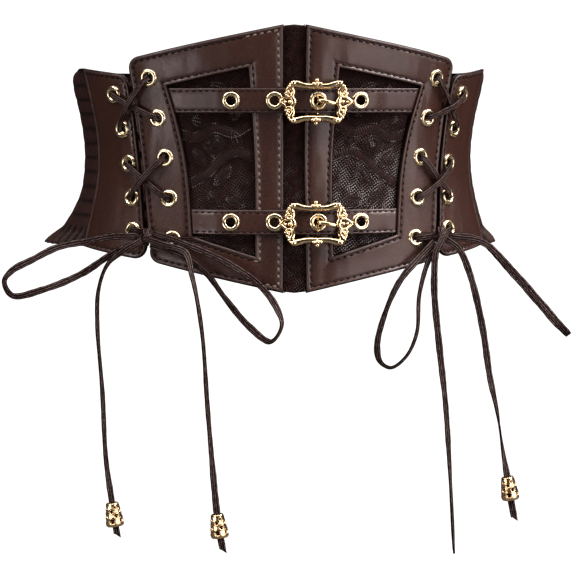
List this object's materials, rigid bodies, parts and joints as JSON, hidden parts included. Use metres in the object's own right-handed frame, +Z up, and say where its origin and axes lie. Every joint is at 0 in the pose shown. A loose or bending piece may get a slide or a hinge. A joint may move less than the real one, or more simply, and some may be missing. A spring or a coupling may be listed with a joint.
{
  "type": "corset belt",
  "caption": "Underbust corset belt with lace windows, buckled straps, laced side panels with hanging bows, and a gathered elastic back.",
  "frame": {"origin": "centre of the wearer's waist at the belt's narrowest level", "axes": "+Z up along the body, -Y out of the front, +X to the right as seen from the front"},
  "size_m": [0.368, 0.2267, 0.3416],
  "materials": {
    "leather": "semi-gloss",
    "lace": "matte",
    "elastic": "satin",
    "gold": "polished",
    "cord": "satin"
  },
  "bodies": {
    "root": {"front_panel_left": "leather", "front_panel_right": "leather", "lace_window_left": "lace", "lace_window_right": "lace", "centre_placket": "lace", "strap_upper": "leather", "strap_lower": "leather", "buckle_upper": "gold", "buckle_lower": "gold", "pin_upper": "gold", "pin_lower": "gold", "side_panel_left": "leather", "side_panel_right": "leather", "back_elastic": "elastic", "eyelet_front_left_1": "gold", "eyelet_front_left_2": "gold", "eyelet_front_left_3": "gold", "eyelet_front_left_4": "gold", "eyelet_front_left_5": "gold", "eyelet_front_right_1": "gold", "eyelet_front_right_2": "gold", "eyelet_front_right_3": "gold", "eyelet_front_right_4": "gold", "eyelet_front_right_5": "gold", "eyelet_side_left_1": "gold", "eyelet_side_left_2": "gold", "eyelet_side_left_3": "gold", "eyelet_side_left_4": "gold", "eyelet_side_left_5": "gold", "eyelet_side_right_1": "gold", "eyelet_side_right_2": "gold", "eyelet_side_right_3": "gold", "eyelet_side_right_4": "gold", "eyelet_side_right_5": "gold", "eyelet_strap_upper_1": "gold", "eyelet_strap_upper_2": "gold", "eyelet_strap_upper_3": "gold", "eyelet_strap_upper_4": "gold", "eyelet_strap_lower_1": "gold", "eyelet_strap_lower_2": "gold", "eyelet_strap_lower_3": "gold", "eyelet_strap_lower_4": "gold", "lacing_left": "cord", "lacing_right": "cord", "bow_knot_left": "cord", "bow_knot_right": "cord", "loop_left_a": "cord", "loop_left_b": "cord", "tail_left_a": "cord", "tail_left_b": "cord", "loop_right_a": "cord", "loop_right_b": "cord", "tail_right_a": "cord", "tail_right_b": "cord", "bead_left_a": "gold", "bead_left_b": "gold", "bead_right_b": "gold"}
  },
  "joints": []
}
